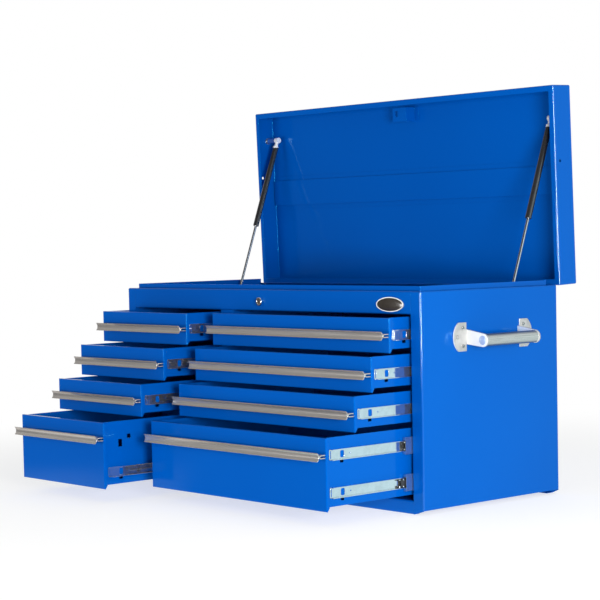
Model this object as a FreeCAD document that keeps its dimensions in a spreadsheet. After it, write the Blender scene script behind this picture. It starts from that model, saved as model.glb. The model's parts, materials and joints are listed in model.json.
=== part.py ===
import FreeCAD, Part
import math
import os

# Top tool chest: a steel case with eight drawers in two columns, a till under a hinged lid,
# two gas struts and two side handles. The origin is on the floor, below the middle of the case.
# X runs to the right of somebody facing the drawers, Y to the back and Z up.

# Driving dimensions, in millimetres and degrees
SIZES = {
    # case
    "case_width": 1060,
    "case_depth": 450,
    "case_height": 487,
    "sheet": 1.2,
    "bend_radius": 3.5,
    "post_width": 31,
    "post_return": 35,
    "rear_flange": 20,
    "side_lift": 10,
    "corner_lift": 9,
    "seam_gap": 0.4,
    "top_rail_height": 50,
    "bottom_rail_height": 30,
    "rail_flange": 18,
    "ledge": 20,
    "lap_width": 14,
    "divider_width": 45,
    "rear_post_lap": 16,
    "rear_post_depth": 40,
    # till
    "rim_height": 11,
    "till_depth": 50,
    "rim_rear_gap": 15,
    "rim_corner": 1.1,
    # lid
    "lid_height": 62,
    "lid_lip": 14,
    "lid_gap": 0.5,
    "lid_over_front": 11,
    "lid_over_back": 2,
    "lid_open": 88,
    "stiffener_start": 214,
    "stiffener_width": 67,
    "stiffener_rise": 6,
    "stiffener_brim": 12,
    "spare_hole_radius": 3.5,
    "spare_hole_along": 291,
    "spare_hole_up": 17,
    "catch_width": 48,
    "catch_length": 35,
    "catch_from_front": 18,
    "catch_inside": 28,
    "catch_sheet": 1.6,
    "catch_foot": 14,
    "catch_slot_width": 9,
    "catch_slot_length": 14,
    "catch_slot_edge": 9,
    "catch_slot_along": 8,
    # hinges
    "hinge_behind": 5,
    "hinge_below": 5,
    "hinge_width": 60,
    "hinge_leaf": 1.5,
    "hinge_leaf_height": 27,
    "hinge_pin_radius": 2.5,
    "hinge_pin_past": 1,
    "hinge_inner_place": 125,
    "hinge_outer_place": 370,
    "knuckle_gap": 0.3,
    "running_gap": 0.05,
    # gas struts
    "strut_from_rim": 21.8,
    "strut_from_front": 74.4,
    "strut_lid_up": 45.7,
    "strut_from_hinge": 123,
    "strut_below": 37,
    "strut_tube_radius": 7.5,
    "strut_tube_length": 230,
    "strut_tube_wall": 1.2,
    "strut_gland": 8,
    "strut_rod_radius": 3.2,
    "strut_engaged": 28.66,
    "strut_piston": 8,
    "socket_radius": 7.5,
    "socket_width": 12,
    "socket_neck": 18,
    "socket_neck_radius": 4.6,
    "socket_floor": 2,
    "stud_radius": 4,
    "stud_shoulder_radius": 6.5,
    "stud_flange_radius": 9,
    "stud_flange": 3,
    "stud_gap": 0.5,
    # drawers
    "left_front_width": 342,
    "front_gap": 2,
    "row_gap": 5,
    "bottom_gap": 4,
    "short_front_height": 76,
    "front_depth": 8,
    "front_sheet": 1,
    "front_radius": 2,
    "front_lip": 2.4,
    "box_rear_room": 30,
    "box_lift": 8,
    "box_sheet": 1,
    "box_hem": 8,
    "box_hem_sheet": 1.2,
    "side_slot_back": 49.5,
    "side_slot_length": 10.5,
    "side_slot_height": 6.6,
    "side_slot_below": 15.3,
    "spare_slot_height": 17.5,
    "spare_slot_below": 14.4,
    "spare_square": 10,
    "spare_square_back": 75,
    # how far each drawer stands open, from the top row down
    "left_open_one": 105,
    "left_open_two": 176,
    "left_open_three": 245,
    "left_open_four": 356,
    "right_open_one": 64,
    "right_open_two": 119.5,
    "right_open_three": 171,
    "right_open_four": 255,
    # pulls
    "pull_inset": 2,
    "pull_depth": 23.5,
    "pull_height": 19,
    "pull_wall": 2,
    "pull_hollow": 4,
    "pull_foot_spread": 6.2,
    "pull_foot_depth": 13.5,
    "pull_neck": 3.2,
    "pull_tip": 0.8,
    "pull_crotch": 0.6,
    "pull_bow_out": 1.52,
    "pull_bow_up": 5.89,
    # ball bearing slides, in three members
    "slide_rear_room": 50,
    "slide_back": 18,
    "slide_height": 45,
    "slide_room": 12.7,
    "slide_web": 1.2,
    "drawer_member_height": 23,
    "drawer_member_depth": 8,
    "middle_member_height": 37.2,
    "middle_member_start": 2.5,
    "middle_member_gap": 0.6,
    "slide_play": 0.4,
    "case_member_start": 4,
    "case_member_web": 1.4,
    "case_member_ahead": 2,
    "middle_shorter": 80,
    "middle_lag": 217,
    "member_corner": 4,
    "end_slit_back": 21,
    "end_slit_width": 2,
    "end_slit_height": 17,
    "latch_window_back": 49.5,
    "latch_window_length": 11,
    "latch_window_height": 15,
    "latch_window_corner": 3,
    "member_hole_back": 78,
    "member_hole_radius": 1.5,
    "deep_slide_up": 37.5,
    "deep_slide_down": 37,
    # lock
    "lock_below": 28,
    "lock_ring_radius": 10,
    "lock_proud": 8,
    "lock_body_radius": 8,
    "lock_body_length": 14,
    "lock_core_radius": 6,
    "lock_core_recess": 0.6,
    "keyway_width": 1.6,
    "keyway_height": 8,
    "keyway_depth": 9,
    "cam_length": 22,
    "cam_width": 11,
    "cam_sheet": 2.5,
    # badge
    "badge_width": 84,
    "badge_height": 33,
    "badge_thickness": 3,
    "badge_from_side": 93,
    "badge_below": 29,
    # side handles
    "handle_back": 3,
    "handle_below": 111,
    "handle_out": 50,
    "grip_radius": 14,
    "grip_wall": 1.5,
    "handle_span": 176,
    "arm_sheet": 5,
    "arm_rim": 1,
    "arm_base_height": 33,
    "flange_below": 104.5,
    "flange_height": 64,
    "flange_width": 42,
    "flange_sheet": 3,
    "flange_flat": 26,
    "screw_radius": 4.2,
    "screw_head": 2,
    "screw_shank_radius": 2.2,
    "screw_shank": 8,
    "screw_near": 12,
    "screw_far": 30,
    "screw_spread": 20,
}

ROW_WORDS = ("one", "two", "three", "four")

document = FreeCAD.newDocument("ToolChest")
sheet_object = document.addObject("Spreadsheet::Sheet", "Sizes")


class Size:
    """A size of the sheet, or a sum of such sizes, with its expression and its value."""

    def __init__(self, text, value):
        self.text = text
        self.value = value

    def join(self, other, sign, value):
        return Size(f"({self.text} {sign} {other.text})", value)

    def __add__(self, other):
        other = as_size(other)
        return self.join(other, "+", self.value + other.value)

    def __radd__(self, other):
        return as_size(other) + self

    def __sub__(self, other):
        other = as_size(other)
        return self.join(other, "-", self.value - other.value)

    def __rsub__(self, other):
        return as_size(other) - self

    def __mul__(self, other):
        other = as_size(other)
        return self.join(other, "*", self.value * other.value)

    def __rmul__(self, other):
        return as_size(other) * self

    def __truediv__(self, other):
        other = as_size(other)
        return self.join(other, "/", self.value / other.value)

    def __neg__(self):
        return 0 - self


def as_size(number):
    """A plain number as a Size."""
    if isinstance(number, Size):
        return number
    return Size(f"({number:.6f})", float(number))


def fill_sheet():
    """Write the driving dimensions into the sheet and hand them back by name."""
    named = {}
    for row, (alias, value) in enumerate(SIZES.items(), start=1):
        sheet_object.set(f"A{row}", alias)
        sheet_object.set(f"B{row}", str(value))
        sheet_object.setAlias(f"B{row}", alias)
        named[alias] = Size(f"Sizes.{alias}", float(value))
    document.recompute()
    return named


S = fill_sheet()


def sine(angle):
    return Size(f"sin({angle.text})", math.sin(math.radians(angle.value)))


def cosine(angle):
    return Size(f"cos({angle.text})", math.cos(math.radians(angle.value)))


# Makers of simple shapes

def bind(thing, **sizes):
    """Tie properties to the sheet. Two underscores in a name stand for a dot."""
    for name, value in sizes.items():
        thing.setExpression(name.replace("__", "."), as_size(value).text)
    return thing


def place(thing, x=0, y=0, z=0):
    return bind(thing, Placement__Base__x=x, Placement__Base__y=y, Placement__Base__z=z)


def plate(x, y, z):
    """A block between two limits along each axis."""
    low_x, high_x = (as_size(limit) for limit in x)
    low_y, high_y = (as_size(limit) for limit in y)
    low_z, high_z = (as_size(limit) for limit in z)
    block = document.addObject("Part::Box", "Block")
    bind(block, Length=high_x - low_x, Width=high_y - low_y, Height=high_z - low_z)
    return place(block, low_x, low_y, low_z)


TURN = {
    "+X": FreeCAD.Rotation(FreeCAD.Vector(0, 1, 0), 90),
    "-X": FreeCAD.Rotation(FreeCAD.Vector(0, 1, 0), -90),
    "+Y": FreeCAD.Rotation(FreeCAD.Vector(1, 0, 0), -90),
    "-Y": FreeCAD.Rotation(FreeCAD.Vector(1, 0, 0), 90),
    "+Z": FreeCAD.Rotation(),
    "-Z": FreeCAD.Rotation(FreeCAD.Vector(1, 0, 0), 180),
}


def rod(start, direction, radius, length):
    """A round bar from a point along an axis."""
    bar = document.addObject("Part::Cylinder", "Bar")
    bind(bar, Radius=radius, Height=length)
    bar.Placement = FreeCAD.Placement(FreeCAD.Vector(), TURN[direction])
    return place(bar, *start)


def fuse(*pieces):
    joined = document.addObject("Part::MultiFuse", "Joined")
    joined.Shapes = list(pieces)
    joined.Refine = True
    return joined


def cut(base, *tools):
    tool = tools[0] if len(tools) == 1 else fuse(*tools)
    result = document.addObject("Part::Cut", "Hollowed")
    result.Base = base
    result.Tool = tool
    result.Refine = True
    return result


def group(pieces):
    """Separate solids that share one node."""
    together = document.addObject("Part::Compound", "Together")
    together.Links = list(pieces)
    return together


def edge_at(along, **coordinates):
    """A test for a straight edge along an axis, at the given coordinates."""
    wanted = {axis: as_size(value).value for axis, value in coordinates.items()}

    def test(edge):
        box = edge.BoundBox
        low = {"x": box.XMin, "y": box.YMin, "z": box.ZMin}
        high = {"x": box.XMax, "y": box.YMax, "z": box.ZMax}
        if high[along] - low[along] < 0.5:
            return False
        return all(abs(low[axis] - value) < 0.001 and abs(high[axis] - value) < 0.001
                   for axis, value in wanted.items())
    return test


def rounded(base, radius, *tests):
    """Round the edges that pass one of the tests, or all of them without a test."""
    document.recompute()
    result = document.addObject("Part::Fillet", "Rounded")
    result.Base = base
    chosen = []
    for number, edge in enumerate(base.Shape.Edges, start=1):
        if not tests or any(test(edge) for test in tests):
            chosen.append((number, radius.value, radius.value))
    result.Edges = chosen
    return result


def bent(base, y, z, out_y, out_z):
    """Round a fold along X, given its outer corner and the way that points into the sheet."""
    inner = edge_at("x", y=y + out_y * sheet, z=z + out_z * sheet)
    outer = edge_at("x", y=y, z=z)
    return rounded(rounded(base, S["bend_radius"] - sheet, inner), S["bend_radius"], outer)


PLANE = {"x": "YZ_Plane", "y": "XZ_Plane", "z": "XY_Plane"}


def profile(across, points, length, x=0, y=0, z=0):
    """An outline padded across an axis. A step of two points is the end of an arc and a point
    that the arc passes through."""
    body = document.addObject("PartDesign::Body", "Body")
    sketch = body.newObject("Sketcher::SketchObject", "Outline")
    role = PLANE[across]
    plane = [feature for feature in body.Origin.OriginFeatures if feature.Role == role][0]
    sketch.AttachmentSupport = [(plane, "")]
    sketch.MapMode = "FlatFace"
    here = vector(points[0])
    for step in list(points[1:]) + [points[0]]:
        if isinstance(step[0], tuple):
            end, middle = vector(step[0]), vector(step[1])
            arc = Part.Arc(here, middle, end)
            sketch.addGeometry(arc, False)
            here = end
        else:
            end = vector(step)
            sketch.addGeometry(Part.LineSegment(here, end), False)
            here = end
    pad = body.newObject("PartDesign::Pad", "Pad")
    pad.Profile = sketch
    bind(pad, Length=length)
    return place(body, x, y, z)


def vector(point):
    return FreeCAD.Vector(as_size(point[0]).value, as_size(point[1]).value, 0)


def name_part(thing, label):
    """Give a finished sub-part its name."""
    thing.Label = label
    finished.append(thing)
    return thing


finished = []

# How far a cutting block stands past what it cuts, and how far a punch reaches through a sheet
cut_margin = 1
punch_reach = 3

# The deep drawers are in the last row
deep_row = len(ROW_WORDS) - 1

# Places that several pieces share
half_width = S["case_width"] / 2
half_depth = S["case_depth"] / 2
front = -half_depth
back = half_depth
top = S["case_height"]
sheet = S["sheet"]
inner_wall = half_width - sheet
post_inside = half_width - S["post_width"]
rim_outside = half_width - S["ledge"]
rim_front = front + S["ledge"]
opening_top = top - S["top_rail_height"]
opening_bottom = S["bottom_rail_height"]
till_bottom = top - S["till_depth"]
flange_end = half_width - S["rear_flange"]
panel_end = flange_end - S["seam_gap"]
rail_end = post_inside - S["seam_gap"]
hinge_y = back + S["hinge_behind"]
hinge_z = top - S["hinge_below"]
knuckle_radius = S["hinge_behind"]
lock_z = top - S["lock_below"]
handle_z = top - S["handle_below"]
flange_z = top - S["flange_below"]

slide_length = S["case_depth"] - S["slide_rear_room"]
case_member_start = front + S["slide_back"] - S["case_member_ahead"]
case_member_y = (case_member_start, case_member_start + slide_length)

left_front = (-post_inside + S["front_gap"], -post_inside + S["front_gap"] + S["left_front_width"])
divider = (left_front[1] + S["front_gap"], left_front[1] + S["front_gap"] + S["divider_width"])
right_front = (divider[1] + S["front_gap"], post_inside - S["front_gap"])


def spread(side, low, high):
    """Limits measured out from the middle, on the left (-1) or the right (1)."""
    if side > 0:
        return low, high
    return -as_size(high), -as_size(low)


# Case

def corner_cut(side, start, y):
    """Slanted cut from the floor at a seam up to the raised edge at the outer corner."""
    seam = side * start.value
    corner = side * half_width.value
    beyond = side * cut_margin
    lift = S["corner_lift"]
    outline = [(seam - beyond, -cut_margin), (corner + beyond, -cut_margin), (corner + beyond, lift),
               (corner, lift), (seam, 0), (seam - beyond, 0)]
    reach = sheet + S["bend_radius"]
    return profile("y", outline, 2 * reach, y=y + reach)


def side_shell(side, inset, past_end):
    """Block with rounded outer edges that the side panel is hollowed from."""
    outer_x = side * (half_width - inset)
    block = plate(spread(side, post_inside - past_end, half_width - inset),
                  (front + inset, back - inset), (-past_end, top - inset))
    return rounded(block, S["bend_radius"] - inset,
                   edge_at("z", x=outer_x, y=front + inset),
                   edge_at("z", x=outer_x, y=back - inset),
                   edge_at("x", y=front + inset, z=top - inset),
                   edge_at("x", y=back - inset, z=top - inset),
                   edge_at("y", x=outer_x, z=top - inset))


def side_panel(side):
    """Side wall with the front post, the ledge and the rear flange folded from one sheet."""
    inside = post_inside - cut_margin
    above = (top - 2 * sheet, top + cut_margin)
    rear = (back - 3 * sheet, back + cut_margin)
    folded = cut(
        side_shell(side, as_size(0), as_size(0)),
        side_shell(side, sheet, as_size(cut_margin)),
        plate(spread(side, inside, rim_outside), (rim_front, back - S["bend_radius"] - sheet), above),
        plate(spread(side, inside, flange_end), (back - S["ledge"], back + cut_margin), above),
        plate(spread(side, inside, flange_end), rear, (-cut_margin, top + cut_margin)),
        plate(spread(side, inside, half_width + cut_margin), (front + sheet, back - sheet),
              (-cut_margin, S["side_lift"])),
        corner_cut(side, post_inside, front),
        corner_cut(side, flange_end, back))
    fold_back = plate(spread(side, post_inside, post_inside + sheet),
                      (front, front + S["post_return"]), (opening_bottom, opening_top))
    holes = screw_holes(side, -1) + screw_holes(side, 1)
    return cut(fuse(folded, fold_back), *holes)


def back_panel():
    """Back sheet between the rear flanges, lapped behind them, folded in at top and bottom."""
    ledge_end = rim_outside - sheet - S["seam_gap"]
    skin = plate((-panel_end, panel_end), (back - sheet, back), (0, top - 2 * S["bend_radius"]))
    upper = plate((-ledge_end, ledge_end), (back - sheet, back), (0, top))
    lap = (panel_end - S["lap_width"], panel_end + S["lap_width"])
    pieces = [skin, upper]
    for side in (-1, 1):
        pieces.append(plate(spread(side, *lap), (back - 2 * sheet, back - sheet),
                            (S["side_lift"], top - 2 * S["bend_radius"])))
    pieces.append(plate((-ledge_end, ledge_end), (back - S["ledge"], back), (top - sheet, top)))
    pieces.append(plate((-panel_end, panel_end), (back - S["ledge"], back), (0, sheet)))
    return bent(bent(fuse(*pieces), back, top, -1, -1), back, as_size(0), -1, 1)


def base_pan():
    """Floor of the case. Its front folds down into the bottom rail."""
    clear = S["bend_radius"]
    level = (opening_bottom - sheet, opening_bottom)
    floor = plate((-inner_wall, inner_wall), (front + clear, back - clear), level)
    ends = panel_end - S["lap_width"] - S["front_gap"]
    middle = plate((-ends, ends), (front, back - sheet), level)
    front_edge = plate((-rail_end, rail_end), (front, front + 2 * clear), level)
    rail = plate((-rail_end, rail_end), (front, front + sheet), (0, opening_bottom))
    foot = plate((-rail_end, rail_end), (front, front + S["rail_flange"]), (0, sheet))
    folded = fuse(floor, middle, front_edge, rail, foot)
    edges = bent(bent(folded, front, as_size(0), 1, 1), front, opening_bottom, 1, -1)
    skirts = []
    for side in (-1, 1):
        skirts.append(plate(spread(side, inner_wall - sheet, inner_wall),
                            (front + S["post_return"], back - 2 * clear),
                            (S["side_lift"], opening_bottom)))
    return fuse(edges, *skirts)


def top_rail():
    """Rail over the drawers, folded back as the front ledge and as a lower flange."""
    face = plate((-rail_end, rail_end), (front, front + sheet), (opening_top, top))
    ledge = plate((-rail_end, rail_end), (front, rim_front), (top - sheet, top))
    flange = plate((-rail_end, rail_end), (front, front + S["rail_flange"]),
                   (opening_top, opening_top + sheet))
    folded = fuse(face, ledge, flange)
    edges = bent(bent(folded, front, top, 1, -1), front, opening_top, 1, 1)
    hole = rod((0, front - cut_margin, lock_z), "+Y", S["lock_body_radius"] + S["running_gap"],
               sheet + 2 * cut_margin)
    return cut(edges, hole)


def centre_divider():
    """Channel between the two columns of drawers. It carries a slide on each side."""
    low, high = divider
    height = (opening_bottom, opening_top)
    deep = (front + sheet, back - sheet)
    return fuse(plate((low, high), (front + sheet, front + 2 * sheet), height),
                plate((low, low + sheet), deep, height),
                plate((high - sheet, high), deep, height))


def till_tray():
    """Tray under the lid. Its walls stand above the ledge as a rim on three sides."""
    rim_top = top + S["rim_height"]
    rear = back - 2 * sheet
    wall_top = top - sheet - S["bend_radius"]
    pieces = [
        plate((-rim_outside, rim_outside), (rim_front, rear), (till_bottom, till_bottom + sheet)),
        plate((-rim_outside, rim_outside), (rim_front, rim_front + sheet), (till_bottom, rim_top)),
        plate((-rim_outside, rim_outside), (rear - sheet, rear), (till_bottom, wall_top)),
    ]
    for side in (-1, 1):
        pieces.append(plate(spread(side, rim_outside - sheet, rim_outside), (rim_front, rear),
                            (till_bottom, wall_top)))
        pieces.append(plate(spread(side, rim_outside - sheet, rim_outside),
                            (rim_front, back - S["rim_rear_gap"]), (till_bottom, rim_top)))
    return rounded(fuse(*pieces), S["rim_corner"],
                   edge_at("z", x=rim_outside, y=rim_front), edge_at("z", x=-rim_outside, y=rim_front))


def rear_slide_posts():
    """Upright channels on the side walls that carry the rear ends of the outer slides."""
    posts = []
    start = case_member_y[1] - S["rear_post_lap"]
    y = (start, start + S["rear_post_depth"])
    height = (opening_bottom, opening_top)
    for side in (-1, 1):
        wide = spread(side, post_inside, inner_wall)
        web = plate(spread(side, post_inside, post_inside + sheet), y, height)
        posts.append(fuse(web, plate(wide, (y[0], y[0] + sheet), height),
                          plate(wide, (y[1] - sheet, y[1]), height)))
    return group(posts)


# Drawers

def row_heights(row):
    """Lower and upper edge of a drawer front. Row 0 is the top row."""
    high = opening_top - S["row_gap"] - row * (S["short_front_height"] + S["row_gap"])
    if row == deep_row:
        return opening_bottom + S["bottom_gap"], high
    return high - S["short_front_height"], high


def slide_heights(column, row):
    """Middle heights of the slides on each side of a drawer."""
    low, high = row_heights(row)
    if row < deep_row:
        return [low + S["short_front_height"] / 2]
    if column == "left":
        return [low + S["deep_slide_up"]]
    return [low + S["deep_slide_up"], high - S["deep_slide_down"]]


def spare_heights(column, row):
    """Heights of the second pair of slots of the deep left drawer, which has no slide there."""
    if row == deep_row and column == "left":
        return [row_heights(row)[1] - S["deep_slide_down"]]
    return []


def box_sides(column):
    """Outer faces of the drawer box, left and right, with the side that each one is on."""
    low, high = left_front if column == "left" else right_front
    overhang = S["slide_room"] - S["front_gap"]
    return ((-1, low + overhang), (1, high - overhang))


def side_hole(edge, back, middle, length, height):
    """Tool for a square hole through the side of a drawer, at the middle height of the hole."""
    return plate((edge - punch_reach, edge + punch_reach), (back, back + length),
                 (middle - height / 2, middle + height / 2))


def drawer_box(column, row):
    """Drawer front as a shallow pan, with the box welded behind it."""
    x0, x1 = left_front if column == "left" else right_front
    z0, z1 = row_heights(row)
    face = front - S[f"{column}_open_{ROW_WORDS[row]}"]
    depth = S["front_depth"]
    skin = S["front_sheet"]
    outline = [(0, z0), (S["front_lip"], z0), (depth, z0 + S["box_lift"]), (depth, z1), (0, z1)]
    solid = profile("x", outline, x1 - x0, x=x0, y=face)
    soft = rounded(solid, S["front_radius"],
                   edge_at("x", y=face, z=z0), edge_at("x", y=face, z=z1),
                   edge_at("z", x=x0, y=face), edge_at("z", x=x1, y=face))
    hollow = plate((x0 + skin, x1 - skin), (face + skin, face + depth + cut_margin),
                   (z0 + skin, z1 - skin))
    pan = cut(soft, hollow)
    wall = S["box_sheet"]
    left, right = (edge for side, edge in box_sides(column))
    start, end = face + depth, face + S["case_depth"] - S["box_rear_room"]
    floor = z0 + S["box_lift"]
    outer = plate((left, right), (start, end), (floor, z1))
    inner = plate((left + wall, right - wall), (start + wall, end - wall),
                  (floor + wall, z1 + cut_margin))
    hem = wall + S["box_hem_sheet"]
    edge_height = (z1 - S["box_hem"], z1)
    box = fuse(pan, cut(outer, inner),
               plate((left, left + hem), (start, end), edge_height),
               plate((right - hem, right), (start, end), edge_height),
               plate((left, right), (end - hem, end), edge_height))
    slots = []
    back = face + S["side_slot_back"]
    for side, edge in box_sides(column):
        for height in slide_heights(column, row):
            slots.append(side_hole(edge, back, height - S["side_slot_below"],
                                   S["side_slot_length"], S["side_slot_height"]))
        for height in spare_heights(column, row):
            slots.append(side_hole(edge, back, height - S["spare_slot_below"],
                                   S["side_slot_length"], S["spare_slot_height"]))
            slots.append(side_hole(edge, face + S["spare_square_back"], height,
                                   S["spare_square"], S["spare_square"]))
    return cut(box, *slots)


def pull(column, row):
    """Full-width pull: an extrusion with a hollow face on a neck that parts into two feet. The
    outline runs from the front (0) outwards (minus), about the middle of the pull."""
    x0, x1 = left_front if column == "left" else right_front
    z0, z1 = row_heights(row)
    face = front - S[f"{column}_open_{ROW_WORDS[row]}"]
    middle = pull_height(row)
    out = -S["pull_depth"].value
    half = S["pull_height"].value / 2
    wall = S["pull_wall"].value
    spread_out = (S["pull_foot_spread"].value + wall) / 2
    spread_in = (S["pull_foot_spread"].value - wall) / 2
    fork = -S["pull_foot_depth"].value
    crotch = fork + S["pull_crotch"].value
    neck = out + S["pull_hollow"].value + wall
    neck_half = S["pull_neck"].value / 2
    tip = S["pull_tip"].value
    bow = (neck - S["pull_bow_out"].value, S["pull_bow_up"].value)
    outline = [
        (0, spread_in), (0, spread_out), (fork, spread_out),
        (neck, neck_half),
        ((out + tip, half), bow),
        (out, half - tip),
        ((out, -half + tip), (out + S["pull_hollow"].value, 0)),
        (out + tip, -half),
        ((neck, -neck_half), (bow[0], -bow[1])),
        (fork, -spread_out), (0, -spread_out), (0, -spread_in),
        (crotch, -spread_in),
        ((crotch, spread_in), (fork - wall / 2, 0)),
    ]
    return profile("x", outline, x1 - x0 - 2 * S["pull_inset"], x=x0 + S["pull_inset"], y=face, z=middle)


def pull_height(row):
    """Height of the middle of a pull. On the deep fronts it stands above the middle."""
    return row_heights(row)[1] - S["short_front_height"] / 2


# Slides

def channel(side, edge, start, web, height, inner_height, y, middle, end):
    """A slide member: a web and two edges that stand from it, between start and end from the box."""
    def at(low, high):
        if side > 0:
            return edge + low, edge + high
        return edge - high, edge - low
    half, inner = height / 2, inner_height / 2
    return fuse(
        plate(at(*web), y, (middle - half, middle + half)),
        plate(at(start, end), y, (middle + inner, middle + half)),
        plate(at(start, end), y, (middle - half, middle - inner)))


def slide_places(column, row):
    for side, edge in box_sides(column):
        for middle in slide_heights(column, row):
            yield side, edge, middle


def drawer_members(column, row):
    """Members screwed to the drawer: a round-cornered nose with a slit, a latch window and a hole."""
    face = front - S[f"{column}_open_{ROW_WORDS[row]}"]
    start = face + S["slide_back"]
    behind_nose = start + S["member_corner"]
    window_back = face + S["latch_window_back"]
    window_length = S["latch_window_length"]
    window_end = window_back + window_length
    members = []
    for side, edge, middle in slide_places(column, row):
        web = (edge, edge + S["slide_web"]) if side > 0 else (edge - S["slide_web"], edge)
        low = middle - S["drawer_member_height"] / 2
        high = middle + S["drawer_member_height"] / 2
        nose = rounded(plate(web, (start, behind_nose + S["member_corner"]), (low, high)),
                       S["member_corner"], edge_at("x", y=start, z=low), edge_at("x", y=start, z=high))
        member = channel(side, edge, as_size(0), (as_size(0), S["slide_web"]), S["drawer_member_height"],
                         S["drawer_member_height"] - 2 * S["slide_web"],
                         (behind_nose, start + slide_length), middle, S["drawer_member_depth"])
        slit = side_hole(edge, face + S["end_slit_back"], middle, S["end_slit_width"], S["end_slit_height"])
        low = middle - S["latch_window_height"] / 2
        high = middle + S["latch_window_height"] / 2
        window = rounded(side_hole(edge, window_back, middle, window_length, S["latch_window_height"]),
                         S["latch_window_corner"],
                         edge_at("x", y=window_back, z=low), edge_at("x", y=window_back, z=high),
                         edge_at("x", y=window_end, z=low), edge_at("x", y=window_end, z=high))
        hole = rod((edge - punch_reach, face + S["member_hole_back"], middle), "+X",
                   S["member_hole_radius"], 2 * punch_reach)
        members.append(cut(fuse(nose, member), slit, window, hole))
    return group(members)


def middle_out(column, row):
    """How far the middle members of a drawer stand out of the case."""
    past = S[f"{column}_open_{ROW_WORDS[row]}"] - S["middle_lag"]
    return Size(f"max(0; {past.text})", max(0, past.value))


def middle_members(column, row):
    """Members between the drawer and the case. They stay in the case until the drawer has pulled
    far enough on them, and then come out with it."""
    start = front + S["slide_back"] - middle_out(column, row)
    y = (start, start + slide_length - S["middle_shorter"])
    inner = S["drawer_member_height"] + 2 * S["slide_play"]
    end = S["slide_room"] - S["case_member_web"] - S["middle_member_gap"]
    web = (end - S["slide_web"], end)
    members = [channel(side, edge, S["middle_member_start"], web, S["middle_member_height"], inner,
                       y, middle, end)
               for side, edge, middle in slide_places(column, row)]
    return group(members)


def case_members():
    """Members fixed to the posts and to the divider."""
    inner = S["middle_member_height"] + 2 * S["slide_play"]
    web = (S["slide_room"] - S["case_member_web"], S["slide_room"])
    members = []
    for column in ("left", "right"):
        for row in range(len(ROW_WORDS)):
            for side, edge, middle in slide_places(column, row):
                members.append(channel(side, edge, S["case_member_start"], web, S["slide_height"],
                                       inner, case_member_y, middle, S["slide_room"]))
    return group(members)


# Lid, modelled shut about its hinge axis and then turned open

lid_bottom = S["hinge_below"] + S["lid_gap"]
lid_top = lid_bottom + S["lid_height"]
lid_front = -(S["case_depth"] + S["hinge_behind"] + S["lid_over_front"])
lid_back = S["lid_over_back"] - S["hinge_behind"]


def turn_lid(thing):
    """Turn a piece that was modelled about the hinge axis to the open lid."""
    turned = group([thing])
    opening = FreeCAD.Rotation(FreeCAD.Vector(-1, 0, 0), S["lid_open"].value)
    turned.Placement = FreeCAD.Placement(FreeCAD.Vector(), opening)
    bind(turned, Placement__Rotation__Angle=S["lid_open"])
    return place(turned, 0, hinge_y, hinge_z)


def lid_shell():
    """Lid pan with its edges folded in."""
    outer = rounded(plate((-half_width, half_width), (lid_front, lid_back), (lid_bottom, lid_top)),
                    S["bend_radius"])
    inner = rounded(plate((-inner_wall, inner_wall), (lid_front + sheet, lid_back - sheet),
                          (lid_bottom + sheet, lid_top - sheet)), S["bend_radius"] - sheet)
    lip = S["lid_lip"]
    mouth = plate((-half_width + lip, half_width - lip), (lid_front + lip, lid_back - lip),
                  (lid_bottom - cut_margin, lid_bottom + 2 * sheet))
    hole = rod((-half_width - cut_margin, -S["spare_hole_along"], lid_bottom + S["spare_hole_up"]), "+X",
               S["spare_hole_radius"], S["case_width"] + 2 * cut_margin)
    return turn_lid(cut(outer, inner, mouth, hole))


def lid_stiffener():
    """Hat section across the inside of the lid."""
    under = lid_top - sheet
    near = -S["stiffener_start"]
    far = near - S["stiffener_width"]
    reach = inner_wall - S["bend_radius"]
    x = (-reach, reach)
    rise = S["stiffener_rise"]
    pieces = [
        plate(x, (far, near), (under - rise - sheet, under - rise)),
        plate(x, (far, far + sheet), (under - rise - sheet, under)),
        plate(x, (near - sheet, near), (under - rise - sheet, under)),
        plate(x, (near - sheet, near + S["stiffener_brim"]), (under - sheet, under)),
        plate(x, (far - S["stiffener_brim"], far + sheet), (under - sheet, under)),
    ]
    return turn_lid(fuse(*pieces))


def lid_catch():
    """Slotted plate inside the lid, on a folded leg."""
    under = lid_top - sheet
    thick = S["catch_sheet"]
    half = S["catch_width"] / 2
    y = (lid_front + S["catch_from_front"], lid_front + S["catch_from_front"] + S["catch_length"])
    level = lid_bottom + S["catch_inside"]
    pieces = [
        plate((-half, half), y, (level, level + thick)),
        plate((half - thick, half), y, (level, under)),
        plate((half - thick, half + S["catch_foot"]), y, (under - thick, under)),
    ]
    slot = plate((-half + S["catch_slot_edge"], -half + S["catch_slot_edge"] + S["catch_slot_width"]),
                 (y[0] + S["catch_slot_along"], y[0] + S["catch_slot_along"] + S["catch_slot_length"]),
                 (level - cut_margin, level + thick + cut_margin))
    return turn_lid(cut(fuse(*pieces), slot))


# Hinges

def hinge_places():
    outer, inner = S["hinge_outer_place"], S["hinge_inner_place"]
    return [-outer, -inner, inner, outer]


def hinge_thirds(middle):
    """The two outer knuckles and the inner one of a hinge, along X."""
    third = S["hinge_width"] / 3
    gap = S["knuckle_gap"]
    start = middle - S["hinge_width"] / 2
    outer = [(start, start + third - gap), (start + 2 * third + gap, start + S["hinge_width"])]
    return outer, (start + third, start + 2 * third)


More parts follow.
